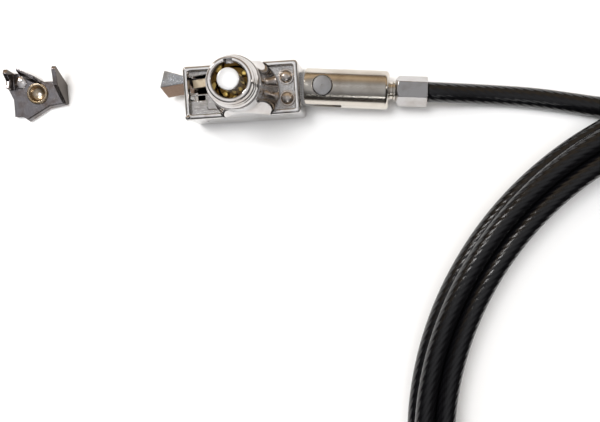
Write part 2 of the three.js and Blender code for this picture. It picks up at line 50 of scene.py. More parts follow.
# ---- Camera ------------------------------------------------------------------------------------
# The lens looks almost straight down from 13 cm above the table, to the right of the lock and in
# front of it, so the walls that face right and forward show.
camera = bpy.data.cameras.new("camera")
camera.lens, camera.sensor_width = 41.52, 36.0
camera.shift_x, camera.shift_y = -0.15, 0.02
camera.clip_start, camera.clip_end = 0.01, 5.0
camera.dof.use_dof = False
eye = bpy.data.objects.new("camera", camera)
eye.location = Vector((26.61, -21.33, 132.32)) * MM
eye.rotation_euler = [math.radians(a) for a in (-1.84, 0.949, -3.621)]
scene.collection.objects.link(eye)
scene.camera = eye

# ---- Table and studio light --------------------------------------------------------------------
# A white laminate table under a wide ceiling panel and one soft daylight panel, which light only matt
# surfaces. Four weak windows give the bright metal something to mirror, in a room that is dark near
# the horizon, and warm towards the back.
TABLE_SIZE = 3.0
AIM = Vector((0.02, -0.03, 0))  # where every lamp points, in metres


class Value:
    """A shader value that works in Python sums: each operation adds one Math node."""

    def __init__(self, finish, socket):
        self.finish, self.socket = finish, socket

    def maths(self, operation, *values):
        inputs = dict(enumerate(values))
        return self.finish.node("ShaderNodeMath", {"operation": operation}, inputs)

    def __add__(self, other):
        return self.maths("ADD", self, other)

    def __radd__(self, other):
        return self.maths("ADD", other, self)

    def __sub__(self, other):
        return self.maths("SUBTRACT", self, other)

    def __rsub__(self, other):
        return self.maths("SUBTRACT", other, self)

    def __mul__(self, other):
        return self.maths("MULTIPLY", self, other)

    def __rmul__(self, other):
        return self.maths("MULTIPLY", other, self)

    def __truediv__(self, other):
        return self.maths("DIVIDE", self, other)

    def __pow__(self, other):
        return self.maths("POWER", self, other)

    def between(self, low, high):
        """0 below low, 1 above high and a smooth rise between them; high may be the lower one."""
        settings = {"interpolation_type": "SMOOTHSTEP"}
        inputs = {"Value": self, "From Min": low, "From Max": high}
        return self.finish.node("ShaderNodeMapRange", settings, inputs)


class Finish:
    """A material or world under construction: every node comes from node()."""

    def __init__(self, owner):
        self.owner = owner
        owner.use_nodes = True
        self.tree = owner.node_tree
        self.tree.nodes.clear()

    def node(self, kind, settings=None, inputs=None, output=0):
        made = self.tree.nodes.new(kind)
        for key, value in (settings or {}).items():
            if key == "stops":
                ramp = made.color_ramp.elements
                while len(ramp) < len(value):
                    ramp.new(0.5)
                for element, (place, colour) in zip(ramp, value):
                    element.position, element.color = place, (*colour, 1.0)
            else:
                setattr(made, key, value)
        for key, value in (inputs or {}).items():
            if isinstance(value, Value):
                self.tree.links.new(value.socket, made.inputs[key])
            else:
                made.inputs[key].default_value = value
        return Value(self, made.outputs[output]) if made.outputs else None

    def ramp(self, value, *stops):
        return self.node("ShaderNodeValToRGB", {"stops": stops}, {"Fac": value})

    def mix(self, factor, first, second):
        """Colour first where factor is 0, second where it is 1; sockets 6 and 7 are the colours."""
        first, second = (c if isinstance(c, Value) else (*c, 1.0) for c in (first, second))
        inputs = {0: factor, 6: first, 7: second}
        return self.node("ShaderNodeMix", {"data_type": "RGBA"}, inputs, output=2)


backdrop = bpy.data.worlds.new("studio")
scene.world = backdrop
sky = Finish(backdrop)
direction = sky.node("ShaderNodeTexCoord", output=0)
sky_height = sky.node("ShaderNodeSeparateXYZ", inputs={0: direction}, output=2)
sky_back = sky.node("ShaderNodeSeparateXYZ", inputs={0: direction}, output=1)
glow = sky.ramp(
    sky_height,
    (0.0, (0.30, 0.29, 0.28)),
    (0.06, (0.05, 0.043, 0.038)),
    (0.45, (0.022, 0.02, 0.018)),
    (0.62, (0.05, 0.048, 0.045)),
    (0.82, (0.24, 0.24, 0.25)),
    (0.93, (0.42, 0.42, 0.43)),
    (0.98, (0.48, 0.48, 0.49)),
)
warm = sky.ramp(
    sky_height,
    (0.0, (0.30, 0.27, 0.24)),
    (0.10, (0.06, 0.045, 0.032)),
    (0.26, (0.36, 0.26, 0.16)),
    (0.52, (0.72, 0.56, 0.38)),
    (0.74, (0.40, 0.32, 0.24)),
    (0.90, (0.38, 0.37, 0.36)),
    (0.98, (0.48, 0.48, 0.49)),
)
room = sky.mix(sky_back.between(0.05, 0.55), glow, warm)
sky.node("ShaderNodeOutputWorld", inputs={0: sky.node("ShaderNodeBackground", inputs={0: room, 1: 1.0})})


def window(name, place, size, power, colour=(1.0, 1.0, 1.0), mirrored=True):
    """A soft panel aimed at the object; one that isn't mirrored lights only matt surfaces."""
    light = bpy.data.lights.new(name, "AREA")
    light.shape = "RECTANGLE"
    light.size, light.size_y = size
    light.energy, light.color = power, colour
    lamp = bpy.data.objects.new(name, light)
    lamp.location = place
    lamp.rotation_euler = (AIM - Vector(place)).to_track_quat("-Z", "Y").to_euler()
    lamp.visible_glossy = mirrored
    scene.collection.objects.link(lamp)


window("ceiling", (-0.05, 0.05, 0.90), (1.10, 1.10), 5.6, mirrored=False)
window("daylight", (-0.15, 0.13, 0.80), (0.26, 0.26), 2.9, mirrored=False)
window("window_back_left", (-0.42, 0.36, 0.60), (0.07, 0.22), 1.0)
window("window_right", (0.70, 0.05, 0.50), (0.08, 0.30), 0.35, (1.0, 0.96, 0.92))
window("window_front", (0.05, -0.60, 0.46), (0.30, 0.06), 0.25)
window("window_overhead", (-0.205, 0.165, 0.95), (0.19, 0.19), 0.085)

bpy.ops.mesh.primitive_plane_add(size=TABLE_SIZE)
table = bpy.context.object
table.name = "table"
laminate = Finish(bpy.data.materials.new("white_laminate"))
grain = laminate.node("ShaderNodeTexNoise", inputs={"Scale": 40.0, "Detail": 3.0})
table_paint = laminate.mix(grain, (0.93, 0.93, 0.93), (0.96, 0.96, 0.96))
table_surface = laminate.node(
    "ShaderNodeBsdfPrincipled", inputs={"Base Color": table_paint, "Roughness": 0.75}
)
laminate.node("ShaderNodeOutputMaterial", inputs={0: table_surface})
table.data.materials.append(laminate.owner)
scene.view_settings.view_transform = "Standard"

# ---- Cable -------------------------------------------------------------------------------------
# Twisted steel strands under smoky clear vinyl, 3.7 mm over all. The cord is 1.8 m long and the path
# drawn here 1.73 m. It leaves the ferrule, sinks to the table, winds six turns into a coil and ends
# in an eye, whose end is crimped beside the cable in a sleeve.
CABLE_D = 3.7
STRANDS = 12
LAY = 22.0  # the length in which a strand goes once round
HINGE = Vector((13.7, 0.35, 4.0))  # where the stem hinges on the body, in the middle of the cross pin
STEM_TURN = math.radians(-6)
along_stem = Vector((math.cos(STEM_TURN), math.sin(STEM_TURN), 0))
FERRULE_LEFT, FERRULE_RIGHT = 13.1, 19.0
cable_exit = HINGE + along_stem * (FERRULE_RIGHT - 0.4)

LEAD = [(37.0, -2.05, 3.55), (41.5, -2.4, 2.6), (46.1, -2.85, 1.95), (50.0, -3.35, 1.86)]
LEAD += [(54.0, -4.0, 1.86), (59.0, -5.0, 1.86), (62.5, -5.75, 1.86)]

COIL_LEFT = {"centre": Vector((91.6, -69.5)), "radius": 62.35, "from": 115.0, "to": 176.0}
COIL_LOW_RADIUS, COIL_HIGH_RADIUS = 28.0, 30.0


def polar(centre, radius, degrees):
    angle = math.radians(degrees)
    return centre + Vector((math.cos(angle), math.sin(angle))) * radius


# The coil's middle line, run clockwise from its top: four tangent arcs and a short straight.
low_centre = polar(COIL_LEFT["centre"], COIL_LEFT["radius"] - COIL_LOW_RADIUS, COIL_LEFT["to"])
high_centre = polar(COIL_LEFT["centre"], COIL_LEFT["radius"] - COIL_HIGH_RADIUS, COIL_LEFT["from"])
side_radius = high_centre.x + COIL_HIGH_RADIUS - low_centre.x
side_centre = Vector((low_centre.x, low_centre.y - COIL_LOW_RADIUS + side_radius))
straight = high_centre.y - side_centre.y
arcs = [
    (high_centre, COIL_HIGH_RADIUS, COIL_LEFT["from"], 0.0),
    (side_centre, side_radius, 0.0, -90.0),
    (low_centre, COIL_LOW_RADIUS, 270.0, COIL_LEFT["to"]),
    (COIL_LEFT["centre"], COIL_LEFT["radius"], COIL_LEFT["to"], COIL_LEFT["from"]),
]
arc_lengths = [radius * math.radians(start - end) for _, radius, start, end in arcs]
TURN = sum(arc_lengths) + straight


def coil_point(run, out, up):
    """The point a distance run along the middle line, moved outwards and up."""
    run %= TURN
    for number, ((centre, radius, start, _), length) in enumerate(zip(arcs, arc_lengths)):
        if run <= length:
            place = polar(centre, radius + out, start - math.degrees(run / radius))
            return Vector((place.x, place.y, up))
        run -= length
        if number == 0:
            if run <= straight:
                return Vector((high_centre.x + COIL_HIGH_RADIUS + out, high_centre.y - run, up))
            run -= straight
    return Vector((*polar(COIL_LEFT["centre"], COIL_LEFT["radius"] + out, COIL_LEFT["from"]), up))


# Where each of the six turns lies in the bundle's section: out from its middle line, and up. Each
# pair of neighbours in this order touches, and each turn moves over to the next place in one stretch.
LAYER = 3.5
FLOOR_Z = CABLE_D / 2 + 0.01
places = [(1.45, 0), (-2.25, 0), (-1.05, 1), (2.65, 1), (1.45, 2), (-2.25, 2)]
places = [(out, FLOOR_Z + LAYER * layer) for out, layer in places]
SHIFT = 20.0  # the stretch in which the turns move over
HUMP = 0.5  # how far a turn rises while it moves over
JOIN_FROM, JOIN_TO = 0.5, 15.0  # the stretch in which the lead slides in under the coil
JOIN_OUT = 7.73


def smooth(t):
    t = min(max(t, 0.0), 1.0)
    return t * t * (3 - 2 * t)


def bundle_place(number, run):
    """Out and up of one turn; each turn but the first starts where the one before it lay."""
    out, up = places[number]
    if number == 0:
        left = 1 - min(max((run - JOIN_FROM) / (JOIN_TO - JOIN_FROM), 0.0), 1.0)
        return out + (JOIN_OUT - out) * left**2, up
    share = smooth(run / SHIFT)
    hump = HUMP * math.sin(math.pi * min(run / (1.6 * SHIFT), 1.0)) ** 2 if number > 1 else 0.0
    before = places[number - 1]
    if number in (2, 4):  # these climb a layer, round the turn that moves over beside them
        pivot_from, pivot_to = (places[number - 2], places[number - 1])
        pivot = [a + (b - a) * share for a, b in zip(pivot_from, pivot_to)]
        start = math.atan2(before[1] - pivot_from[1], before[0] - pivot_from[0])
        end = math.atan2(up - pivot_to[1], out - pivot_to[0])
        angle = start + (end - start) * share
        return pivot[0] + CABLE_D * math.cos(angle), pivot[1] + CABLE_D * math.sin(angle) + hump
    return before[0] + (out - before[0]) * share, before[1] + (up - before[1]) * share + hump


TIE_RUN = arc_lengths[0] + straight + side_radius * math.radians(16)  # the strap's middle
TIE_WIDTH = 12.0
STRAP_LIFT = 1.15


def over_strap(run, up):
    """The strap's lower side lifts the bundle a little."""
    near = smooth(1.6 - abs(run - TIE_RUN) / TIE_WIDTH)
    return up + STRAP_LIFT * near * (1 - 0.05 * (up - FLOOR_Z))


STEPS = 72
turns = []
for number in range(len(places)):
    first = 1 if number == 0 else 0
    for step in range(first, STEPS):
        run = TURN * step / STEPS
        out, up = bundle_place(number, run)
        turns.append(coil_point(run, out, over_strap(run, up)))

# The last turn slips off the inside of the bundle and runs to the eye's sleeve.
slip = [(4, -2.8, 8.85), (9, -4.4, 8.5), (14, -5.5, 7.2), (19, -6.05, 5.5), (25, -6.3, 3.7)]
slip += [(32, -6.5, 2.4), (38, -6.6, 1.95)]
turns += [coil_point(run, out, up) for run, out, up in slip]
TAIL = [(99.0, -29.9, 1.9), (99.5, -32.3, 1.95), (98.9, -34.9, 2.05), (97.5, -37.5, 2.2)]
SLEEVE_END = Vector((90.1, -50.7, 0))
EYE_TURN = math.radians(151)
# The eye about the sleeve's mouth: one half of the loop, from inside the sleeve to its widest place.
EYE_HALF = [(2.0, -11.0), (2.0, -6.0), (2.0, 0.5), (2.3, 3.3), (4.6, 8.3), (8.0, 13.8), (10.2, 19.6)]
EYE_HALF += [(10.2, 25.4), (6.9, 31.6)]
EYE = [(-x, y) for x, y in EYE_HALF] + [(0, 34.4)] + EYE_HALF[::-1]


def at_eye(x, y, z):
    cos, sin = math.cos(EYE_TURN), math.sin(EYE_TURN)
    return SLEEVE_END + Vector((x * cos - y * sin, x * sin + y * cos, z))


eye_run = [at_eye(x, y, 2.3 if y < 0 else FLOOR_Z + 0.2) for x, y in EYE]
knots = [cable_exit, cable_exit + along_stem * 1.6]
knots += [Vector(p) for p in LEAD] + turns + [Vector(p) for p in TAIL] + eye_run


def curve_through(points, spacing):
    """Points on a centripetal spline through the given ones, evenly spaced by arc length."""
    fine = []
    ends = [points[0] * 2 - points[1], *points, points[-1] * 2 - points[-2]]
    for a, b, c, d in zip(ends, ends[1:], ends[2:], ends[3:]):
        t1 = max((b - a).length, 1e-6) ** 0.5
        t2 = t1 + max((c - b).length, 1e-6) ** 0.5
        t3 = t2 + max((d - c).length, 1e-6) ** 0.5
        for i in range(8):
            t = t1 + (t2 - t1) * i / 8
            ab, bc = a.lerp(b, t / t1), b.lerp(c, (t - t1) / (t2 - t1))
            cd = c.lerp(d, (t - t2) / (t3 - t2))
            abc, bcd = ab.lerp(bc, t / t2), bc.lerp(cd, (t - t1) / (t3 - t1))
            fine.append(abc.lerp(bcd, (t - t1) / (t2 - t1)))
    fine.append(points[-1])
    lengths = [0.0]
    for a, b in zip(fine, fine[1:]):
        lengths.append(lengths[-1] + (b - a).length)
    count = round(lengths[-1] / spacing)
    even, at = [], 0
    for i in range(count + 1):
        wanted = lengths[-1] * i / count
        while at < len(fine) - 2 and lengths[at + 1] < wanted:
            at += 1
        share = (wanted - lengths[at]) / max(lengths[at + 1] - lengths[at], 1e-9)
        even.append(fine[at].lerp(fine[at + 1], share))
    return even


cable_path = curve_through(knots, 1.3)


def frames_along(points):
    """Two directions square to the path at each point, carried along without twisting."""
    side, made = Vector((0, 0, 1)), []
    for i in range(len(points)):
        ahead = points[min(i + 1, len(points) - 1)] - points[max(i - 1, 0)]
        ahead.normalize()
        side = (side - ahead * side.dot(ahead)).normalized()
        made.append((side, ahead.cross(side)))
    return made


def new_object(name, mesh):
    piece = bpy.data.objects.new(name, mesh)
    scene.collection.objects.link(piece)
    return piece


def tube(name, points, radius, sides):
    """A round bar along points. Its map runs with the length in metres one way, once round the other."""
    mesh = bpy.data.meshes.new(name)
    verts, faces, run = [], [], [0.0]
    for a, b in zip(points, points[1:]):
        run.append(run[-1] + (b - a).length)
    for point, (side, other) in zip(points, frames_along(points)):
        for k in range(sides):
            angle = 2 * math.pi * k / sides
            verts.append((point + (side * math.cos(angle) + other * math.sin(angle)) * radius) * MM)
    for i in range(len(points) - 1):
        for k in range(sides):
            a, b = i * sides + k, i * sides + (k + 1) % sides
            faces.append((a, b, b + sides, a + sides))
    faces.append(tuple(reversed(range(sides))))
    faces.append(tuple(range((len(points) - 1) * sides, len(points) * sides)))
    mesh.from_pydata(verts, [], faces)
    layer = mesh.uv_layers.new(name="along")
    for face in mesh.polygons:
        ring, k = divmod(face.index, sides)
        for corner in range(4 if ring < len(points) - 1 else 0):
            column, row = k + (corner in (1, 2)), ring + (corner in (2, 3))
            layer.data[face.loop_indices[corner]].uv = (run[row] * MM, column / sides)
    mesh.update()
    for face in mesh.polygons:
        face.use_smooth = len(face.vertices) == 4
    return new_object(name, mesh)


cable = tube("cable", cable_path, CABLE_D / 2 - 0.005, 24)

vinyl = Finish(bpy.data.materials.new("smoky_vinyl_over_strands"))
turned_map = vinyl.node("ShaderNodeUVMap", {"uv_map": "along"})
run_m = vinyl.node("ShaderNodeSeparateXYZ", inputs={0: turned_map}, output=0)
round_share = vinyl.node("ShaderNodeSeparateXYZ", inputs={0: turned_map}, output=1)
waver = vinyl.node("ShaderNodeTexNoise", {"noise_dimensions": "1D"}, {"W": run_m * 90.0, "Detail": 2.0})
phase = (round_share - run_m / (LAY * MM)) * STRANDS + (waver - 0.5) * 0.35
strand = phase.maths("SINE", phase * (2 * math.pi)) * 0.5 + 0.5
wire_phase = (round_share * 2.0 - run_m / (LAY * MM) * 2.0 + run_m * 130.0) * STRANDS
wires = wire_phase.maths("SINE", wire_phase * (2 * math.pi)) * 0.5 + 0.5
groove = strand ** 0.6
haze = vinyl.node("ShaderNodeTexNoise", inputs={"Scale": 900.0, "Detail": 4.0, "Roughness": 0.6})
steel_show = groove * (wires * 0.5 + 0.5) * haze.between(0.3, 0.8)
cable_paint = vinyl.mix(steel_show, (0.0015, 0.0015, 0.002), (0.011, 0.011, 0.013))
cable_bump = vinyl.node(
    "ShaderNodeBump",
    inputs={"Strength": 0.35, "Distance": 0.00012, "Height": groove * 0.8 + haze * 0.15},
)
vinyl_surface = vinyl.node(
    "ShaderNodeBsdfPrincipled",
    inputs={
        "Base Color": cable_paint,
        "Roughness": 0.12 + haze * 0.12,
        "Specular IOR Level": 0.5,
        "Normal": cable_bump,
    },
)
vinyl.node("ShaderNodeOutputMaterial", inputs={0: vinyl_surface})
cable.data.materials.append(vinyl.owner)
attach(cable, "cable")
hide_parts("cable_lead", "cable_coil", "cable_tail", "cable_eye")

# ---- Strap round the coil ----------------------------------------------------------------------
# A woven hook-and-loop strap of 12 mm tape goes once round all six turns. It is one closed band
# here, without the lap of its ends.
TIE_THICK = 0.8


def arc(x, y, radius, start, end, steps):
    """Points on a round stretch, angles in degrees."""
    angles = [math.radians(start + (end - start) * i / steps) for i in range(steps + 1)]
    return [(x + radius * math.cos(a), y + radius * math.sin(a)) for a in angles]


def round_box(left, right, low, top, corner, grow=0.0):
    """The outline of a box section with round corners, grown outwards on request."""
    points = arc(right - corner, top - corner, corner + grow, 0, 90, 6)
    points += arc(left + corner, top - corner, corner + grow, 90, 180, 6)
    points += arc(left + corner, low + corner, corner + grow, 180, 270, 6)
    return points + arc(right - corner, low + corner, corner + grow, 270, 360, 6)


def band(name, inner, outer, to_place, half_length, rows):
    """A closed band between two outlines of equal count, swept along the coil."""
    mesh = bpy.data.meshes.new(name)
    work = bmesh.new()
    count, grid = len(inner), []
    for row in range(rows + 1):
        offset = -half_length + 2 * half_length * row / rows
        rings = [[work.verts.new(to_place(offset, *p) * MM) for p in outline] for outline in (inner, outer)]
        grid.append(rings)
    for row in range(rows):
        for k in range(count):
            n = (k + 1) % count
            (ai, ao), (bi, bo) = grid[row], grid[row + 1]
            work.faces.new((ao[k], ao[n], bo[n], bo[k]))
            work.faces.new((ai[n], ai[k], bi[k], bi[n]))
    for (ri, ro), flip in ((grid[0], False), (grid[-1], True)):
        for k in range(count):
            n = (k + 1) % count
            loop = (ri[k], ri[n], ro[n], ro[k])
            work.faces.new(tuple(reversed(loop)) if flip else loop)
    bmesh.ops.recalc_face_normals(work, faces=work.faces)
    work.to_mesh(mesh)
    work.free()
    return new_object(name, mesh)


BUNDLE_MID, BUNDLE_HALF, BUNDLE_TOP = 0.2, 4.45, 11.8
TAPE_BEND = 2.0  # the inside radius of the strap's corners
strap_inner = round_box(-BUNDLE_HALF, BUNDLE_HALF, TIE_THICK + 0.05, BUNDLE_TOP, TAPE_BEND)
strap_half = BUNDLE_HALF + TIE_THICK
strap_outer = round_box(-strap_half, strap_half, 0.02, BUNDLE_TOP + TIE_THICK, TAPE_BEND + TIE_THICK)
strap = band(
    "strap",
    strap_inner,
    strap_outer,
    lambda offset, out, up: coil_point(TIE_RUN + offset, BUNDLE_MID + out, up),
    TIE_WIDTH / 2,
    8,
)
tape = Finish(bpy.data.materials.new("woven_tape"))
spot = tape.node("ShaderNodeTexCoord", output=3)
warp = tape.node(
    "ShaderNodeTexWave", {"bands_direction": "X"}, {"Vector": spot, "Scale": 900.0, "Distortion": 1.5}
)
weft = tape.node(
    "ShaderNodeTexWave", {"bands_direction": "Z"}, {"Vector": spot, "Scale": 700.0, "Distortion": 1.5}
)
fuzz = tape.node("ShaderNodeTexNoise", inputs={"Vector": spot, "Scale": 2500.0, "Detail": 3.0})
tape_height = warp * 0.5 + weft * 0.5 + fuzz * 0.6
tape_surface = tape.node(
    "ShaderNodeBsdfPrincipled",
    inputs={
        "Base Color": tape.mix(fuzz, (0.010, 0.010, 0.011), (0.045, 0.045, 0.048)),
        "Roughness": 0.85,
        "Sheen Weight": 0.3,
        "Normal": tape.node(
            "ShaderNodeBump", inputs={"Strength": 0.6, "Distance": 0.0002, "Height": tape_height}
        ),
    },
)
tape.node("ShaderNodeOutputMaterial", inputs={0: tape_surface})
strap.data.materials.append(tape.owner)
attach(strap, "cable")
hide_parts("cable_tie")

# ---- Eye sleeve --------------------------------------------------------------------------------
# A drawn aluminium sleeve with two bores side by side, plated and pressed flat with a row of crimps.
# It holds the cable's end against the cable, which makes the eye.
ADD, CUT, TRIM = "UNION", "DIFFERENCE", "INTERSECT"


def blank(work):
    """A bench object from a bmesh, in millimetres, for machined() to finish."""
    mesh = bpy.data.meshes.new("blank")
    bmesh.ops.recalc_face_normals(work, faces=work.faces)
    work.to_mesh(mesh)
    work.free()
    return new_object("blank", mesh)


def loft(*sections):
    """A solid through flat outlines of equal count, each a pair of outline and height."""
    work = bmesh.new()
    rings = [[work.verts.new((x, y, z)) for x, y in outline] for outline, z in sections]
    for low, top in zip(rings, rings[1:]):
        for a, b, c, d in zip(low, low[1:] + low[:1], top[1:] + top[:1], top):
            work.faces.new((a, b, c, d))
    work.faces.new(rings[0][::-1])
    work.faces.new(rings[-1])
    return blank(work)


def prism(outline, low, top):
    return loft((outline, low), (outline, top))


def block(left, right, front, back, low, top, corner=0.0, ease=0.0):
    """A block with round corners. Its top edge is rounded over by ease, or flared if ease is negative."""
    if not corner:
        return prism([(left, front), (right, front), (right, back), (left, back)], low, top)
    sections = [(0.0, low)]
    for lift, inset in [(math.sin(a), 1 - math.cos(a)) for a in [math.radians(15 * i) for i in range(7)]]:
        sections.append((-ease * inset, top + abs(ease) * (lift - 1)))
    lofted = []
    for grow, level in sections if ease else [(0.0, low), (0.0, top)]:
        lofted.append((round_box(left, right, front, back, corner, grow), level))
    return loft(*lofted)


def turned(profile, sides=96):
    """A lathe-turned solid from pairs of radius and height; it closes on the axis or on itself."""
    work = bmesh.new()
    ring_count = len(profile) - (profile[0] == profile[-1])
    rings = []
    for radius, height in profile[:ring_count]:
        if radius < 1e-6:
            rings.append([work.verts.new((0, 0, height))] * sides)
        else:
            rings.append([work.verts.new((x, y, height)) for x, y in arc(0, 0, radius, 0, 360, sides)[:-1]])
    pairs = list(zip(rings, rings[1:]))
    if profile[0] == profile[-1]:
        pairs.append((rings[-1], rings[0]))
    for low, top in pairs:
        for a, b, c, d in zip(low, low[1:] + low[:1], top[1:] + top[:1], top):
            corners = list(dict.fromkeys((a, b, c, d)))
            if len(corners) > 2:
                work.faces.new(corners)
    return blank(work)


def moved(piece, *steps):
    for step in steps:
        piece.data.transform(step)
    return piece


def shifted(piece, x, y, z=0.0):
    return moved(piece, Matrix.Translation((x, y, z)))


def rod(radius, low, top, x=0.0, y=0.0, sides=32):
    return shifted(turned([(0, low), (radius, low), (radius, top), (0, top)], sides), x, y)


def machined(name, stock, steps=(), edge=0.0, sharp=32.0, angle=40.0):
    """The stock after the steps, which are pairs of ADD, CUT or TRIM and a tool, and after its edges
    are rounded. It turns from millimetres to metres."""
    for operation, tool in steps:
        step = stock.modifiers.new("step", "BOOLEAN")
        step.object, step.operation, step.solver = tool, operation, "EXACT"
    if edge:
        bevel = stock.modifiers.new("edge", "BEVEL")
        bevel.width, bevel.segments = edge, 3
        bevel.limit_method, bevel.angle_limit = "ANGLE", math.radians(angle)
        bevel.use_clamp_overlap = False
        bevel.miter_outer = "MITER_ARC"
    ready = stock.evaluated_get(bpy.context.evaluated_depsgraph_get())
    mesh = bpy.data.meshes.new_from_object(ready)
    mesh.name = name
    mesh.transform(Matrix.Scale(MM, 4))
    mesh.shade_smooth()
    mesh.set_sharp_from_angle(angle=math.radians(sharp))
    for piece in (stock, *[tool for _, tool in steps]):
        bpy.data.meshes.remove(piece.data)
    made = new_object(name, mesh)
    fair = made.modifiers.new("even_shading", "WEIGHTED_NORMAL")
    fair.keep_sharp = True
    return made


SLEEVE_LENGTH, SLEEVE_WIDTH, SLEEVE_HEIGHT = 12.0, 8.6, 4.6
SLEEVE_ROWS, BORE_OUT = 48, 2.0
CRIMPS, CRIMP_DEPTH, MOUTH_DEPTH, MOUTH_LENGTH = 3, 0.28, 0.22, 0.5


def sleeve_outline(squeeze):
    half, r = SLEEVE_WIDTH / 2 - SLEEVE_HEIGHT / 2, SLEEVE_HEIGHT / 2 - squeeze
    right = arc(half, SLEEVE_HEIGHT / 2, r, -90, 90, 12)
    return right + arc(-half, SLEEVE_HEIGHT / 2, r, 90, 270, 12)


crimps = []
for i in range(SLEEVE_ROWS + 1):
    along = SLEEVE_LENGTH * i / SLEEVE_ROWS
    wave = math.sin(along / SLEEVE_LENGTH * CRIMPS * 2 * math.pi - math.pi / 2)
    press = CRIMP_DEPTH * max(0.0, wave) ** 0.7
    mouth = MOUTH_DEPTH * (1 - min(min(along, SLEEVE_LENGTH - along) / MOUTH_LENGTH, 1.0)) ** 2
    crimps.append((sleeve_outline(press + mouth), along))
bores = [
    (CUT, rod(CABLE_D / 2 + 0.05, -1, SLEEVE_LENGTH + 1, side * BORE_OUT, SLEEVE_HEIGHT / 2, 40))
    for side in (-1, 1)
]
eye_sleeve = machined("crimped_eye_sleeve", loft(*crimps), bores)
lay_down = Matrix.Rotation(math.pi / 2, 4, "X")
turn_eye = Matrix.Rotation(EYE_TURN, 4, "Z")
eye_sleeve.data.transform(Matrix.Translation(SLEEVE_END * MM) @ turn_eye @ lay_down)


def metal(
    name, bright, stained, rough, grain, relief, stain_size=4.0, mask=None, streak=(1, 1, 1), sides=None
):
    """Bare or plated metal: stains, uneven polish and fine grain. Colours, then roughness from and to,
    the grain's size and relief in millimetres. A mask puts a second, coarser grain where it is 1, and
    sides is painted shade: a colour given to steep faces, darker or warmer than the tops, for the way light
    falls on them."""
    made = Finish(bpy.data.materials.new(name))
    place = made.node("ShaderNodeTexCoord", output=3)
    scaled = made.node("ShaderNodeMapping", inputs={"Vector": place, "Scale": streak})
    soft = made.node(
        "ShaderNodeTexNoise", inputs={"Vector": place, "Scale": 1 / (stain_size * MM), "Detail": 4.0}
    )
    fine = made.node(
        "ShaderNodeTexNoise",
        inputs={"Vector": scaled, "Scale": 1 / (grain * MM), "Detail": 3.0, "Roughness": 0.6},
    )
    bump = fine
    roughness = rough[0] + (soft * 0.5 + fine * 0.5).between(0.35, 0.7) * (rough[1] - rough[0])
    if mask:
        coarse = made.node("ShaderNodeTexNoise", inputs={"Vector": place, "Scale": 3400.0, "Detail": 2.0})
        where = mask(made, place)
        bump = fine + where * coarse * 9.0
        roughness = roughness + where * 0.12
    paint = made.mix(soft.between(0.42, 0.75), bright, stained)
    # Painted shade: steep faces take the sides colour in place of the metal's own, by the way they face.
    if sides:
        facing = made.node("ShaderNodeTexCoord", output=1)
        side_shade_mask = made.node("ShaderNodeSeparateXYZ", inputs={0: facing}, output=2).between(0.75, 0.35)
        paint = made.mix(side_shade_mask, paint, sides)
    surface = made.node(
        "ShaderNodeBsdfPrincipled",
        inputs={
            "Base Color": paint,
            "Metallic": 1.0,
            "Roughness": roughness,
            "Normal": made.node(
                "ShaderNodeBump", inputs={"Strength": 1.0, "Distance": relief * MM, "Height": bump}
            ),
        },
    )
    made.node("ShaderNodeOutputMaterial", inputs={0: surface})
    return made.owner


def finished(piece, material, slot, body, *nodes):
    """Gives a piece its material, its body and the nodes that it stands for, which it hides. The slot
    argument is not used.
    """
    piece.data.materials.clear()
    piece.data.materials.append(material)
    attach(piece, body)
    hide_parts(*nodes)


plated_sleeve = metal(
    "plated_sleeve", (0.62, 0.60, 0.57), (0.42, 0.40, 0.37), (0.24, 0.4), 0.12, 0.008
)
finished(eye_sleeve, plated_sleeve, "nickel", "cable", "eye_sleeve")
[[v * MM for v in point] for point in cable_path]

# ---- Lock housing ------------------------------------------------------------------------------
# A zinc casting under bright chrome. A shallow recess with a grainy floor is sunk into its top, the
# hook's bar shows in a pocket on the left, and the whole underside is hollow for the works.
def box_of(node):
    low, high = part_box(node)
    return [v / MM for pair in zip(low, high) for v in pair]


LEFT, RIGHT, FRONT, BACK, _, HEIGHT = box_of("housing")
WALL, RECESS_Z, CAVITY_Z = 0.9, 7.1, 6.4
RIM_OUTSIDE, RIM_INSIDE = 0.42, 0.26  # how far the rim is rounded over on each side
BARREL_FOOT, BARREL_SPIGOT = 5.95, 4.0
RIVET_X = 7.25
rivet_rows = [(FRONT + BACK) / 2 + side * 1.92 for side in (-1, 1)]
inside = (LEFT + WALL, RIGHT - WALL, FRONT + WALL, BACK - WALL)
pad = block(-7.3, -2.0, -2.7, 0.1, RECESS_Z - 0.3, RECESS_Z + 0.35, 0.2)
bead = shifted(turned(arc(0, 0, 0.5, -90, 90, 12), 24), LEFT + 0.42, FRONT + 0.42, HEIGHT - 0.22)
axis_z, hinge_y = HINGE.z, HINGE.y
LUG_HALF, LUG_THICK, CLEAR = 2.9, 2.4, 0.12
lug_slot = (hinge_y - LUG_HALF - CLEAR, hinge_y + LUG_HALF + CLEAR)
lug_slot += (axis_z - LUG_THICK / 2 - CLEAR, axis_z + LUG_THICK / 2 + CLEAR)
test_hole = moved(
    rod(0.35, -1.5, 1.5, sides=20),
    Matrix.Rotation(math.pi / 2, 4, "X"),
    Matrix.Translation((-8.2, FRONT, 4.2)),
)
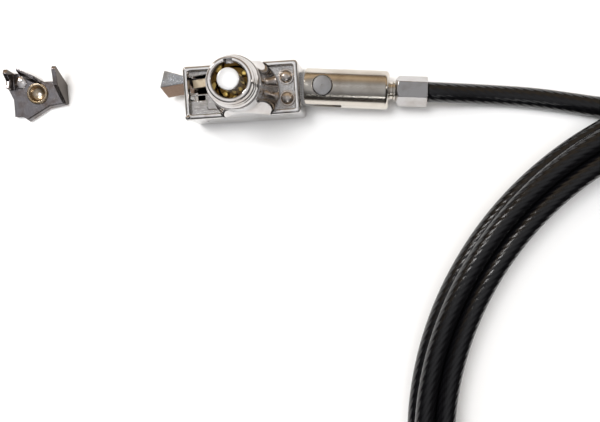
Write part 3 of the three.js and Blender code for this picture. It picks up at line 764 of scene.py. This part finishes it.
steps = [
    (CUT, block(*inside, RECESS_Z, HEIGHT + 0.01, 0.3, ease=-RIM_INSIDE)),
    (ADD, pad),
    (ADD, bead),
    (CUT, block(*inside, -1, CAVITY_Z, 0.3)),
    (CUT, block(LEFT + 0.7, RIGHT - 0.7, FRONT + 0.7, BACK - 0.7, -1, 0.92, 0.3)),
    (CUT, rod(BARREL_FOOT + CLEAR, RECESS_Z, HEIGHT + 1, sides=96)),
    (CUT, rod(BARREL_SPIGOT + CLEAR, CAVITY_Z - 1, HEIGHT, sides=96)),
    (CUT, prism([(-10.3, 0.2), (-5.2, 0.2), (-5.2, 3.95), (-10.3, 3.3)], CAVITY_Z - 1, RECESS_Z + 1)),
    (CUT, block(-10.3, -7.6, -0.95, -0.1, CAVITY_Z - 1, RECESS_Z + 0.2, 0.15)),
    (CUT, block(LEFT - 1, LEFT + 2, -0.5, 4.05, 1.9, 6.75)),
    (CUT, block(RIGHT - 2, RIGHT + 1, *lug_slot)),
    (CUT, test_hole),
]
steps += [(CUT, rod(0.87, -1, HEIGHT, RIVET_X, y)) for y in rivet_rows]
stock = block(LEFT, RIGHT, FRONT, BACK, 0, HEIGHT, 0.7, ease=RIM_OUTSIDE)
housing = machined("cast_housing", stock, steps, edge=0.11)


def on_recess_floor(made, place):
    level = made.node("ShaderNodeSeparateXYZ", inputs={0: place}, output=2)
    return level.between(0.00685, 0.00705) * level.between(0.0077, 0.0075)


chrome_casting = metal(
    "chromed_casting",
    (0.63, 0.615, 0.605),
    (0.46, 0.42, 0.385),
    (0.06, 0.15),
    0.35,
    0.006,
    mask=on_recess_floor,
)
finished(housing, chrome_casting, "cast", "lock_body", "housing")

# ---- Rivets ------------------------------------------------------------------------------------
# Two plated steel rivets hold the base plate and the hinge plate. Each has a high dome inside a flat
# ring, peened over on the recess floor.
RIVET_SEAT, RIVET_RING, RIVET_DOME, DOME_RISE = RECESS_Z + 0.06, 1.42, 1.14, 0.9
# The sides colour is painted shade: the steep faces of dome and ring turn a warmer, darker tone by the way
# they face.
rivet_steel = metal(
    "rivet_steel", (0.82, 0.78, 0.75), (0.66, 0.58, 0.52), (0.24, 0.34), 0.2, 0.004, sides=(0.80, 0.68, 0.54)
)
for name, y in zip(("rivet_front", "rivet_back"), rivet_rows):
    profile = [(0, 0.1), (0.75, 0.1), (0.75, RIVET_SEAT), (RIVET_RING - 0.05, RIVET_SEAT)]
    profile += arc(RIVET_RING - 0.1, RIVET_SEAT + 0.12, 0.1, -30, 90, 5)
    profile += [(RIVET_DOME + 0.04, RIVET_SEAT + 0.22), (RIVET_DOME + 0.02, RIVET_SEAT + 0.14)]
    profile += [
        (RIVET_DOME * math.cos(a), RIVET_SEAT + 0.14 + DOME_RISE * math.sin(a))
        for a in [math.radians(5 * i) for i in range(18)]
    ] + [(0, RIVET_SEAT + 0.14 + DOME_RISE)]
    rivet = machined(f"domed_{name}", shifted(turned(profile, 64), RIVET_X, y))
    finished(rivet, rivet_steel, "nickel", "lock_body", name)

# ---- Key barrel --------------------------------------------------------------------------------
# A turned and chromed sleeve. Its wide flared foot is cut flush with the housing's two long sides,
# and a thin collar runs round it under the open end.
FOOT_R, NECK_R, NECK_Z, LIP_R, LIP_Z, BORE_R = 5.95, 4.4, 13.4, 4.6, 17.0, 3.6
profile = [(BORE_R, CAVITY_Z), (BARREL_SPIGOT, CAVITY_Z), (BARREL_SPIGOT, RECESS_Z + CLEAR)]
profile += [(FOOT_R, RECESS_Z + CLEAR)]
for i in range(25):
    t = i / 24
    profile.append((NECK_R + (FOOT_R - NECK_R) * (1 - t) ** 1.8, HEIGHT + (NECK_Z - HEIGHT) * t))
profile += [(NECK_R, LIP_Z - 0.12)] + arc(LIP_R - 0.12, LIP_Z + 0.1, 0.12, -60, 0, 4)
profile += arc(LIP_R - 0.12, LIP_Z + 0.4, 0.12, 0, 80, 5)
profile += [(LIP_R - 0.3, LIP_Z + 0.5), (LIP_R - 0.32, LIP_Z + 0.68)]
profile += arc(LIP_R - 0.44, LIP_Z + 0.68, 0.12, 0, 90, 4) + [(BORE_R, LIP_Z + 0.8), (BORE_R, CAVITY_Z)]
slab = block(-9, 9, FRONT + 0.01, BACK - 0.01, 0, 30)
barrel = machined("barrel_sleeve_turned", turned(profile, 160), [(TRIM, slab)])
barrel_chrome = metal("barrel_chrome", (0.63, 0.61, 0.60), (0.47, 0.43, 0.40), (0.05, 0.12), 0.6, 0.004)
finished(barrel, barrel_chrome, "cast", "lock_body", "barrel_sleeve")

# ---- Cylinder case -----------------------------------------------------------------------------
# The turned nose stands above the sleeve, with a ring-shaped mouth for the tubular key and one
# keyway at its back. Two fine tool lines run round its cone.
MOUTH_R, NOSE_TOP, KEYWAY_WIDTH = 2.95, 20.3, 1.3
profile = [(MOUTH_R, 9.0), (3.45, 9.0), (3.45, 17.92), (4.28, 17.92)]
profile += arc(4.28, 18.04, 0.12, -90, 10, 5)
for i in range(13):
    t = i / 12
    groove = 0.07 if i in (4, 8) else 0.0
    profile.append((4.36 - 0.62 * t**1.25 - groove, 18.3 + 1.6 * t))
profile += arc(3.5, 19.98, 0.3, 20, 90, 6) + arc(3.15, 20.08, 0.2, 90, 180, 5)
profile += [(MOUTH_R, 9.0)]
keyway = block(-KEYWAY_WIDTH / 2, KEYWAY_WIDTH / 2, 2.0, 3.35, NOSE_TOP - 1.7, NOSE_TOP + 1)
nose = machined("cylinder_nose", turned(profile, 160), [(CUT, keyway)], edge=0.05, angle=60)
finished(nose, barrel_chrome, "cast", "lock_body", "cylinder_case")

# ---- Spindle and pins --------------------------------------------------------------------------
# The plug is a brass disc on a shaft with a polished steel-coloured post in its middle. Seven brass
# key pins stand in a ring round the post, in eight even places with one left out under the keyway.
POST_R, POST_TOP, DISC_R, DISC_LOW, DISC_TOP = 1.83, 21.0, 2.8, 13.2, 15.6
PIN_R, PIN_CIRCLE, KEY_PIN_LOW, KEY_PIN_TOP = 0.5, 2.38, 14.2, 16.4
SHAFT_R, SHAFT_LOW = 1.2, 2.2
pin_places = arc(0, 0, PIN_CIRCLE, 135, 405, 6)
profile = [(0, SHAFT_LOW), (SHAFT_R, SHAFT_LOW), (SHAFT_R, DISC_LOW), (DISC_R, DISC_LOW), (DISC_R, DISC_TOP)]
profile += [(POST_R, DISC_TOP)] + arc(POST_R - 0.2, POST_TOP - 0.2, 0.2, 0, 90, 6) + [(0, POST_TOP)]
steps = [(CUT, rod(PIN_R + 0.06, DISC_LOW - 1, DISC_TOP + 1, x, y, 24)) for x, y in pin_places]
spindle = machined("spindle_with_post", turned(profile, 96), steps)
post_finish = Finish(bpy.data.materials.new("polished_post_and_brass_disc"))
post_place = post_finish.node("ShaderNodeTexCoord", output=3)
post_level = post_finish.node("ShaderNodeSeparateXYZ", inputs={0: post_place}, output=2)
is_post = post_level.between(0.0157, 0.0159)
post_grain = post_finish.node("ShaderNodeTexNoise", inputs={"Scale": 2500.0, "Detail": 3.0})
# Painted reflection: the post is near white and partly matt, so the lamps that light only matt surfaces make
# it shine white the way a bright reflection in it would.
post_white_painted_reflection = post_finish.mix(post_grain, (0.90, 0.90, 0.90), (0.97, 0.97, 0.97))
disc_brass = post_finish.mix(post_grain, (0.42, 0.25, 0.06), (0.20, 0.11, 0.03))
post_surface = post_finish.node(
    "ShaderNodeBsdfPrincipled",
    inputs={
        "Base Color": post_finish.mix(is_post, disc_brass, post_white_painted_reflection),
        "Metallic": 1.0 - is_post * 0.35,
        "Roughness": 0.34 - is_post * 0.22 + post_grain * 0.06,
    },
)
post_finish.node("ShaderNodeOutputMaterial", inputs={0: post_surface})
finished(spindle, post_finish.owner, "post", "plug", "spindle")

pin_brass = metal("pin_brass", (0.86, 0.62, 0.20), (0.55, 0.34, 0.08), (0.16, 0.3), 0.15, 0.004, 1.5)
for i, (x, y) in enumerate(pin_places):
    profile = [(0, KEY_PIN_LOW), (PIN_R, KEY_PIN_LOW)]
    profile += arc(PIN_R - 0.16, KEY_PIN_TOP - 0.16, 0.16, 0, 90, 5) + [(0, KEY_PIN_TOP)]
    pin = machined(f"brass_key_pin_{i + 1}", shifted(turned(profile, 32), x, y))
    finished(pin, pin_brass, "brass", f"pin_{i + 1}", f"key_pin_{i + 1}")

# ---- Works inside the housing ------------------------------------------------------------------
# Turned and stamped pieces that only show with the lock open: bare steel, but for a brass bushing
# and a brass washer.
works_steel = metal("works_steel", (0.56, 0.55, 0.54), (0.36, 0.34, 0.32), (0.24, 0.42), 0.2, 0.006)
bushing_brass = metal("bushing_brass", (0.74, 0.52, 0.18), (0.45, 0.28, 0.08), (0.2, 0.36), 0.2, 0.004)
steel_nodes = ["base_plate", "lug_plate", "drive_cam", "cam_clip", "hook_pivot", "hook_spring"]
steel_nodes += [f"{kind}_{i + 1}" for kind in ("driver_pin", "pin_spring") for i in range(7)]
for names, material in ((steel_nodes, works_steel), (["pin_bushing", "swivel_washer"], bushing_brass)):
    for name in names:
        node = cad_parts[name]
        node.data.materials.clear()
        node.data.materials.append(material)

# ---- Hook --------------------------------------------------------------------------------------
# The hook turns on a pivot under the barrel's foot. A gilt-nickelled bar lies on top in the pocket,
# and the tongue under it leaves through the left wall and ends in a broad flared head.
PIVOT = (-3.2, 2.9)
BAR_END, BAR_HALF, BAR_LOW, BAR_TOP = (-10.0, 2.2), 0.8, 4.7, 6.1
PIVOT_EYE, PIVOT_HOLE = 1.2, 0.82


def link(start, end, half, low, top, square_end=False):
    """A flat bar between two points in plan, round at both ends or square at the far one."""
    angle = math.degrees(math.atan2(end[1] - start[1], end[0] - start[0]))
    outline = arc(*start, half, angle + 90, angle + 270, 16)
    outline += arc(*end, half, angle - 90, angle + 90, 1 if square_end else 16)
    return prism(outline, low, top)


steps = [
    (ADD, rod(PIVOT_EYE, BAR_LOW, BAR_TOP, *PIVOT)),
    (CUT, rod(PIVOT_HOLE, 0, HEIGHT, *PIVOT)),
]
bar_stock = link(PIVOT, BAR_END, BAR_HALF, BAR_LOW, BAR_TOP, square_end=True)
hook_bar = machined("hook_bar_stamped", bar_stock, steps, edge=0.1)
# Its sides colour is painted shade: the bar's steep faces are coloured dark by the way they face.
bar_gold = metal(
    "bar_gilt_nickel",
    (0.92, 0.78, 0.58),
    (0.78, 0.62, 0.42),
    (0.3, 0.45),
    0.22,
    0.03,
    1.5,
    sides=(0.2, 0.17, 0.14),
)
finished(hook_bar, bar_gold, "bar", "hook", "hook_bar")

HEAD_TOP = [(-10.5, 3.75), (-11.55, 3.83), (-14.96, 5.05), (-15.95, 1.97), (-11.64, 2.45), (-10.5, 2.45)]
HEAD_LOW = [(-10.5, 3.6), (-11.55, 3.6), (-14.96, 4.6), (-15.9, 0.7), (-11.64, 1.25), (-10.5, 1.35)]
HEAD_Z, HEAD_HIGH, SHANK_TOP = 2.2, 6.4, 4.4
steps = [
    (ADD, link(PIVOT, (-10.2, 2.6), 0.95, HEAD_Z, SHANK_TOP)),
    (ADD, rod(PIVOT_EYE, HEAD_Z, SHANK_TOP, *PIVOT)),
    (CUT, rod(PIVOT_HOLE, 0, HEIGHT, *PIVOT)),
]
tongue = machined("tongue_ground", loft((HEAD_LOW, HEAD_Z), (HEAD_TOP, HEAD_HIGH)), steps, edge=0.12)
# Its sides colour is painted shade: the tongue's steep faces are coloured dark brown by the way they face.
ground_steel = metal(
    "ground_steel",
    (0.46, 0.47, 0.49),
    (0.30, 0.28, 0.26),
    (0.22, 0.38),
    0.25,
    0.02,
    2.5,
    streak=(0.35, 2.2, 1),
    sides=(0.19, 0.12, 0.08),
)
finished(tongue, ground_steel, "tongue", "hook", "tongue")

# ---- Stem --------------------------------------------------------------------------------------
# A turned steel bar under satin nickel. Its left end is milled into a fork that straddles the hinge
# plate, and it is bored in two widths for the swivelling neck and its head.
STEM_R, STEM_LEFT, STEM_RIGHT = 3.525, -3.35, 11.95
FORK_DEPTH, FORK_GAP, PIN_BORE, HEAD_BORE, WAIST_BORE = 3.3, 2.6, 1.85, 2.6, 1.95
to_stem = Matrix.Translation(HINGE) @ Matrix.Rotation(STEM_TURN, 4, "Z")
stem_place = Matrix.Scale(MM, 4) @ to_stem @ Matrix.Scale(1 / MM, 4)
lay_along = Matrix.Rotation(math.pi / 2, 4, "Y")


def along_axis(profile, sides=96):
    """Turned about the stem's own axis: pairs of radius and distance from the hinge."""
    return moved(turned(profile, sides), lay_along)


profile = [(0, STEM_LEFT), (STEM_R, STEM_LEFT), (STEM_R, STEM_RIGHT - 0.75)]
profile += arc(STEM_R - 0.75, STEM_RIGHT - 0.75, 0.75, 10, 80, 8)
profile += [(STEM_R - 0.75, STEM_RIGHT), (0, STEM_RIGHT)]
steps = [
    (TRIM, block(STEM_LEFT, STEM_RIGHT + 5, -STEM_R - 0.05, STEM_R + 0.05, -9, 9, 0.9)),
    (CUT, block(STEM_LEFT - 1, FORK_DEPTH, -9, 9, -FORK_GAP / 2, FORK_GAP / 2)),
    (CUT, along_axis([(0, 3.2), (HEAD_BORE, 3.2), (HEAD_BORE, 10.5), (0, 10.5)], 48)),
    (CUT, along_axis([(0, 5), (WAIST_BORE, 5), (WAIST_BORE, 14), (0, 14)], 48)),
    (CUT, rod(PIN_BORE, -9, 9, sides=64)),
]
stem = machined("stem_forked", along_axis(profile, 128), steps, edge=0.1, angle=50)
stem.data.transform(stem_place)
satin_nickel = metal(
    "satin_nickel",
    (0.66, 0.62, 0.56),
    (0.50, 0.45, 0.39),
    (0.16, 0.26),
    0.14,
    0.006,
    5.0,
    streak=(1.6, 0.5, 0.5),
)
finished(stem, satin_nickel, "stem", "stem", "stem_sleeve")

# ---- Cross pin ---------------------------------------------------------------------------------
# A plain steel pin, ground almost flush with the stem and marked with a centre punch, is the stem's
# hinge.
PIN_LOW, PIN_TOP, CROSS_R = 0.7, 7.42, 1.72
profile = [(0, PIN_LOW - axis_z)] + arc(CROSS_R - 0.12, PIN_LOW - axis_z + 0.12, 0.12, -90, 0, 4)
profile += arc(CROSS_R - 0.12, PIN_TOP - axis_z - 0.12, 0.12, 0, 90, 4)
profile += [(0.16, PIN_TOP - axis_z), (0, PIN_TOP - axis_z - 0.12)]
cross_pin = machined("cross_pin_ground", turned(profile, 96))
cross_pin.data.transform(stem_place)
pin_steel = metal("cross_pin_steel", (0.50, 0.50, 0.51), (0.40, 0.40, 0.40), (0.36, 0.5), 0.16, 0.012, 1.2)
finished(cross_pin, pin_steel, "pin_steel", "stem", "cross_pin")

# ---- Swivelling neck and ferrule ---------------------------------------------------------------
# A headed pin runs in the stem's bore on a brass washer, so the cable can turn. Its shank is pressed
# into a six-sided ferrule, chamfered at the neck, that is crimped on the cable.
NECK_HEAD, NECK_WAIST, SHANK_R, SHANK_END = 2.4, 1.8, 1.5, 15.4
profile = [(0, 8.6), (NECK_HEAD, 8.6), (NECK_HEAD, 9.8), (NECK_WAIST, 9.8), (NECK_WAIST, 12.05)]
profile += [(NECK_WAIST - 0.22, 12.25), (NECK_WAIST - 0.22, 12.6), (NECK_WAIST, 12.78)]
profile += [(NECK_WAIST, FERRULE_LEFT - CLEAR), (SHANK_R, FERRULE_LEFT - CLEAR)]
profile += [(SHANK_R, SHANK_END), (0, SHANK_END)]
neck = machined("swivel_neck", along_axis(profile))
neck.data.transform(stem_place)
finished(neck, satin_nickel, "nickel", "cable", "swivel_pin")

ACROSS_FLATS = 4.9
CORNER_R = ACROSS_FLATS / math.sqrt(3)
hexagon = arc(0, 0, CORNER_R, 0, 360, 6)[:-1]
bar = moved(prism(hexagon, FERRULE_LEFT, FERRULE_RIGHT), Matrix.Rotation(math.pi / 2, 4, "Z"), lay_along)
profile = [(0, FERRULE_LEFT), (ACROSS_FLATS / 2 - 0.4, FERRULE_LEFT), (CORNER_R + 0.1, FERRULE_LEFT + 0.8)]
profile += [(CORNER_R + 0.1, FERRULE_RIGHT - 0.25), (CORNER_R - 0.2, FERRULE_RIGHT), (0, FERRULE_RIGHT)]
steps = [
    (TRIM, along_axis(profile)),
    (CUT, along_axis([(0, 12), (1.65, 12), (1.65, 15.7), (0, 15.7)], 48)),
    (CUT, along_axis([(0, 16.3), (1.95, 16.3), (1.95, 20), (0, 20)], 48)),
]
ferrule = machined("hex_ferrule", bar, steps, edge=0.08, angle=25, sharp=25)
ferrule.data.transform(stem_place)
bright_nickel = metal("bright_nickel", (0.52, 0.51, 0.51), (0.40, 0.37, 0.35), (0.12, 0.22), 0.3, 0.005, 3.0)
finished(ferrule, bright_nickel, "nickel", "cable", "ferrule")

# ---- Slot bracket ------------------------------------------------------------------------------
# Stamped from 0.8 mm steel and folded: a flat foot, a fin on the right, a horn on the left and a wall
# that curves up at the back. The gilt cup of the screw hole, the lip in front and the low cap on the
# left are pieces of their own. The cap stands in for a pressed scoop; its almost white colour is a
# painted highlight, and the lip's lighter colour is a painted reflection of the white table.
BRACKET_AT = (-41.1, 3.3)
SHEET = 0.8
FOOT = [(-5.7, 1.1), (-4.9, -0.8), (-4.9, -4.0), (-3.5, -4.05), (-2.6, -4.6), (1.7, -2.3)]
FOOT += [(5.1, -1.9), (5.1, 1.6), (2.75, 2.3), (1.0, 2.3), (-2.9, 4.2), (-5.4, 4.2)]
FIN = [(-2.2, 0), (1.6, 0), (4.4, 4.2), (3.8, 4.5), (0.9, 4.0), (-2.2, 1.0)]
HORN = [(0.9, 0), (4.2, 0), (4.7, 2.6), (3.9, 2.9), (2.6, 1.9), (1.3, 2.3)]
stand_up = Matrix.Rotation(math.pi / 2, 4, "Z") @ Matrix.Rotation(math.pi / 2, 4, "X")


def standing(outline, x):
    return shifted(moved(prism(outline, 0, SHEET), stand_up), x, 0)


def leaning_wall():
    """The back wall, which curves up out of the sheet, leans back and narrows."""
    sections = []
    for i in range(9):
        t = i / 8
        lean = 1.15 * t**2
        front = [(-3.0 - 0.3 * t, 3.1 + 0.9 * t + lean * 0.4), (1.0 - 1.2 * t, 1.2 + 1.1 * t + lean * 0.4)]
        back = [(1.0 - 1.1 * t, 2.3 + 1.0 * t), (-2.9 - 0.3 * t, 4.2 + 0.7 * t)]
        sections.append((front + back, 0.25 + 2.0 * t))
    return loft(*sections)


LIP = [(-3.3, -3.8), (-2.95, -4.5), (-2.15, -5.1), (1.95, -2.85), (5.3, -2.4), (5.3, -1.7)]
LIP += [(1.6, -2.1), (-2.3, -4.3)]
lip = machined("slot_bracket_front_lip", prism(LIP, 0, 0.5), edge=0.12, angle=35)
HOLE_R, SEAT_R, COLLAR_R = 0.35, 1.5, 2.0
collar = [(HOLE_R, 0.02), (COLLAR_R, 0.02), (COLLAR_R, SHEET)]
collar += arc(COLLAR_R - 0.2, SHEET + 0.14, 0.2, -20, 90, 5)
collar += arc(SEAT_R + 0.1, SHEET + 0.24, 0.1, 90, 150, 3)
collar += [(1.15, 0.3), (0.9, 0.14), (HOLE_R, 0.1), (HOLE_R, 0.02)]
SEAT_AT = (-0.2, 0.1)
steps = [
    (ADD, standing(FIN, 4.5)),
    (ADD, standing(HORN, -5.5)),
    (ADD, leaning_wall()),
    (CUT, rod(COLLAR_R - 0.05, -1, 5, *SEAT_AT, sides=64)),
]
bracket = machined("folded_slot_bracket", prism(FOOT, 0, SHEET), steps, edge=0.09, angle=35)
screw_seat = machined("slot_bracket_screw_seat", shifted(turned(collar, 64), *SEAT_AT))
CAP_R, CAP_LOW, CAP_RISE, CAP_AT = 1.2, 0.5, 0.32, (-3.35, 2.35)
profile = [(0, CAP_LOW), (CAP_R, CAP_LOW)]
profile += [(CAP_R * x, SHEET - 0.02 + CAP_RISE * y) for x, y in arc(0, 0, 1, 0, 90, 12)]
cap = machined("slot_bracket_pressed_corner", shifted(turned(profile, 48), *CAP_AT))
# Rounding the edges pushes a few points under the table; they are pressed flat.
for vertex in bracket.data.vertices:
    vertex.co.z = max(vertex.co.z, 0.0)
for piece in (bracket, lip, screw_seat, cap):
    piece.data.transform(Matrix.Translation(Vector((*BRACKET_AT, 0)) * MM))
# Its sides colour is painted shade: the sheet's steep faces and edges are coloured near black by the way
# they face.
sheet_steel = metal(
    "plated_sheet",
    (0.46, 0.44, 0.46),
    (0.25, 0.20, 0.18),
    (0.12, 0.26),
    0.3,
    0.02,
    2.2,
    sides=(0.10, 0.085, 0.075),
)
finished(bracket, sheet_steel, "sheet", "bracket", "slot_bracket")
# Painted reflection: the lip is the same sheet, coloured lighter than the foot for the white table it
# mirrors.
lip_painted_reflection = metal("sheet_edge_painted_reflection", (0.66, 0.63, 0.62), (0.48, 0.43, 0.40), (0.14, 0.24), 0.3, 0.008, 2.2)
finished(lip, lip_painted_reflection, "sheet", "bracket", "slot_bracket")
# Painted highlight: the cap is the same sheet, coloured almost white for the bright patch it shows.
cap_painted_highlight = metal(
    "pressed_corner_painted_highlight", (0.93, 0.90, 0.90), (0.62, 0.52, 0.44), (0.10, 0.2), 0.3, 0.01, 2.0
)
finished(cap, cap_painted_highlight, "sheet", "bracket", "slot_bracket")
seat_gilt = metal("gilt_screw_seat", (0.62, 0.52, 0.40), (0.40, 0.28, 0.14), (0.2, 0.32), 0.3, 0.006, 1.2)
finished(screw_seat, seat_gilt, "sheet", "bracket", "slot_bracket")
